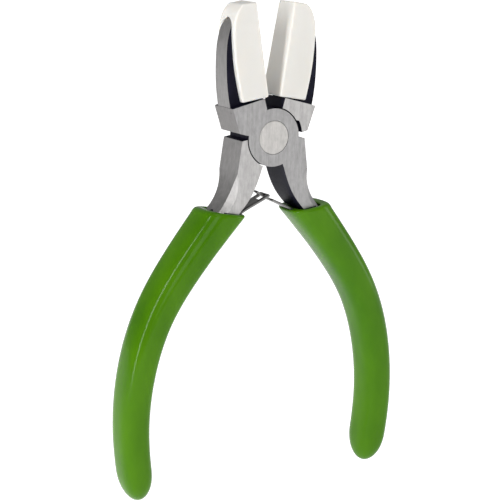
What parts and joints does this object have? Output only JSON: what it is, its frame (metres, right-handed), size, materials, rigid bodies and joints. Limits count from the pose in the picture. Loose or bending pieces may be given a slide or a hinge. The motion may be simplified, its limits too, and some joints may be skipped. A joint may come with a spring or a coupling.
{
  "type": "nylon jaw pliers",
  "caption": "Lap-joint flat-nose pliers with replaceable soft nylon jaws, crossed leaf return springs and slip-on grips.",
  "frame": {"origin": "on the line midway between the two handles, at the level of the ends of the grips in the rest pose, the pivot straight above", "axes": "+Z from the grips' ends towards the jaw tips, Y along the pivot axis with the front face towards -Y, X across the jaws"},
  "size_m": [0.0912, 0.0146, 0.1404],
  "materials": {
    "ground_steel": "satin",
    "rivet_steel": "satin",
    "dowel_steel": "satin",
    "spring_steel": "satin",
    "nylon": "matte",
    "green_vinyl": "gloss"
  },
  "bodies": {
    "front": {"front_half": "ground_steel", "pivot_rivet": "rivet_steel", "left_jaw_pad": "nylon", "left_pad_dowel_lower": "dowel_steel", "left_pad_dowel_upper": "dowel_steel", "right_grip": "green_vinyl", "right_leaf_rivet": "dowel_steel", "tongue_leaf_spring": "spring_steel"},
    "rear": {"rear_half": "ground_steel", "right_jaw_pad": "nylon", "right_pad_dowel_lower": "dowel_steel", "right_pad_dowel_upper": "dowel_steel", "left_grip": "green_vinyl", "left_leaf_rivet": "dowel_steel", "slotted_leaf_spring": "spring_steel"}
  },
  "joints": [
    {"name": "jaw_pivot", "type": "hinge", "parent": "front", "child": "rear", "pos_m": [0, 0, 0.1026], "axis": [0, 1, 0], "range_deg": [-18, 6], "stiffness_Nm_per_rad": 1.2, "deforming": ["tongue_leaf_spring", "slotted_leaf_spring"]}
  ]
}
